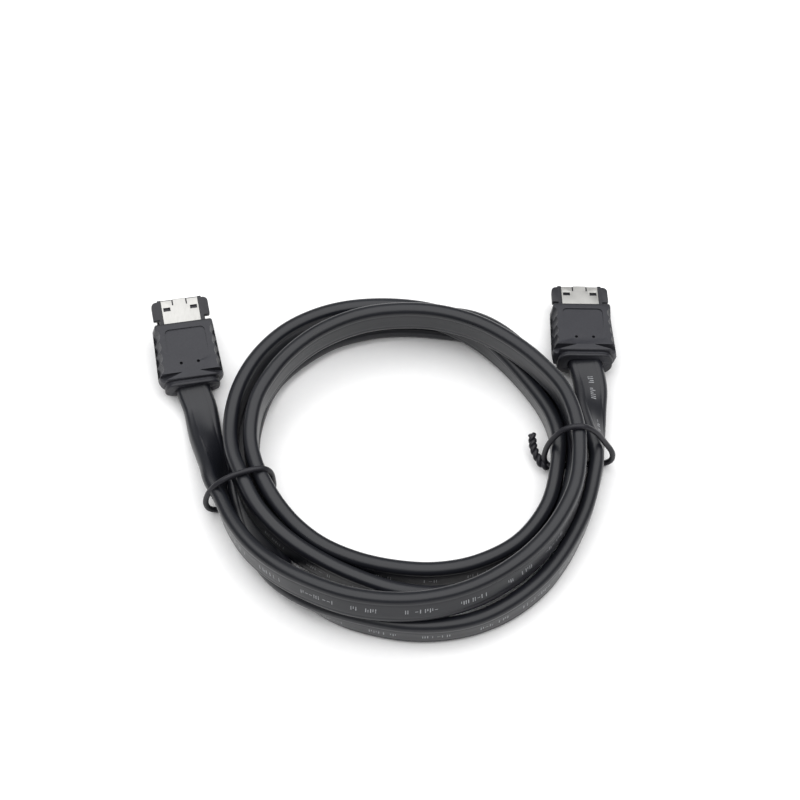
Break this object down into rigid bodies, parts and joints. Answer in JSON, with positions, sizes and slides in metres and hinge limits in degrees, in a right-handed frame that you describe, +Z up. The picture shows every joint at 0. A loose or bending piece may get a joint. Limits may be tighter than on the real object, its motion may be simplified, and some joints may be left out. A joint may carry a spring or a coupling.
{
  "type": "coiled data cable",
  "caption": "Flat data cable, coiled and held by two wire ties, with a moulded plug at each end.",
  "frame": {"origin": "on the table, under the middle of the box round the two plugs and the two ties", "axes": "+X from the left plug to the right plug, +Y away from the viewer, towards the plugs' noses, +Z up from the table"},
  "size_m": [0.1182, 0.1006, 0.0177],
  "materials": {
    "moulding": "fine matt grain",
    "cable": "satin",
    "housing": "satin",
    "shield": "nickel plated",
    "contact": "gold plated",
    "insert": "matt",
    "pair": "foil",
    "tie": "satin"
  },
  "bodies": {
    "root": {"cable_coil": "cable", "cable_tail_left": "cable", "cable_tail_right": "cable", "left_tie": "tie", "right_tie": "tie", "left_overmold": "moulding", "left_housing": "housing", "left_shield_top": "shield", "left_shield_bottom": "shield", "left_insert": "insert", "left_pair_1": "pair", "left_pair_2": "pair", "left_contact_1": "contact", "left_contact_2": "contact", "left_contact_3": "contact", "left_contact_4": "contact", "left_contact_5": "contact", "left_contact_6": "contact", "left_contact_7": "contact", "right_overmold": "moulding", "right_housing": "housing", "right_shield_top": "shield", "right_shield_bottom": "shield", "right_insert": "insert", "right_pair_1": "pair", "right_pair_2": "pair", "right_contact_1": "contact", "right_contact_2": "contact", "right_contact_3": "contact", "right_contact_4": "contact", "right_contact_5": "contact", "right_contact_6": "contact", "right_contact_7": "contact"}
  },
  "joints": []
}
